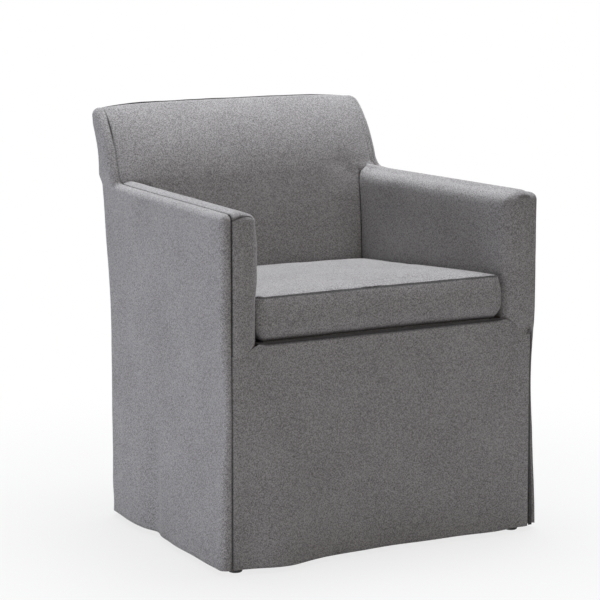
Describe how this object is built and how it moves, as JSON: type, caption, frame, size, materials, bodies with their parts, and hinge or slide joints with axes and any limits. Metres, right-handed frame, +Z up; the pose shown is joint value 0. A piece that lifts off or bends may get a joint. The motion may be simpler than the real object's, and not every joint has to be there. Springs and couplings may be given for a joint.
{
  "type": "dining armchair",
  "caption": "Upholstered dining armchair with a timber frame, a fitted cover hanging to the floor, and a loose boxed seat cushion with a zip.",
  "frame": {"origin": "on the floor, under the middle of the chair's bounding box", "axes": "+Z up; -Y is the side that the sitter faces; +X is the sitter's left, which is the right of the picture"},
  "size_m": [0.6648, 0.6128, 0.78],
  "materials": {
    "beech": "sawn",
    "rail_wood": "sawn",
    "block_wood": "sawn",
    "plywood": "sanded",
    "zinc_steel": "zinc plated",
    "glide_plastic": "moulded",
    "webbing": "woven",
    "foam": "open cell",
    "cover_cloth": "fine grey weave",
    "lining_cloth": "plain weave",
    "dust_cloth": "non-woven",
    "zip_tape": "woven tape",
    "zip_metal": "tumbled"
  },
  "bodies": {
    "chair": {"front_post_left": "beech", "front_post_right": "beech", "rear_post_left": "beech", "rear_post_right": "beech", "front_seat_rail": "rail_wood", "rear_seat_rail": "rail_wood", "side_seat_rail_left": "rail_wood", "side_seat_rail_right": "rail_wood", "arm_rail_left": "rail_wood", "arm_rail_right": "rail_wood", "crest_rail": "rail_wood", "lower_back_rail": "rail_wood", "corner_blocks": "block_wood", "block_screws": "zinc_steel", "glides": "glide_plastic", "glide_nails": "zinc_steel", "arm_board_inner_left": "plywood", "arm_board_inner_right": "plywood", "arm_board_outer_left": "plywood", "arm_board_outer_right": "plywood", "back_board": "plywood", "seat_straps_long": "webbing", "seat_straps_cross": "webbing", "back_straps": "webbing", "deck_foam_pad": "foam", "arm_foam_left": "foam", "arm_foam_right": "foam", "back_foam": "foam", "side_cover_left": "cover_cloth", "side_cover_right": "cover_cloth", "arm_cover_left": "cover_cloth", "arm_cover_right": "cover_cloth", "inside_back_cover": "cover_cloth", "outside_back_cover": "cover_cloth", "front_cover": "cover_cloth", "deck_cloth": "lining_cloth", "dust_cloth": "dust_cloth", "pleat_flap_left": "cover_cloth", "pleat_flap_right": "cover_cloth"},
    "seat_cushion": {"cushion_top": "cover_cloth", "cushion_border": "cover_cloth", "cushion_bottom": "cover_cloth", "cushion_foam": "foam", "cushion_zip": "zip_tape"},
    "zip_slider": {"zip_slider": "zip_metal"}
  },
  "joints": [
    {"name": "seat_cushion_lift", "type": "slide", "parent": "chair", "child": "seat_cushion", "axis": [0, 0, 1], "range_m": [0, 0.3]},
    {"name": "zip_run", "type": "slide", "parent": "seat_cushion", "child": "zip_slider", "axis": [-1, 0, 0], "range_m": [0, 0.26]}
  ]
}
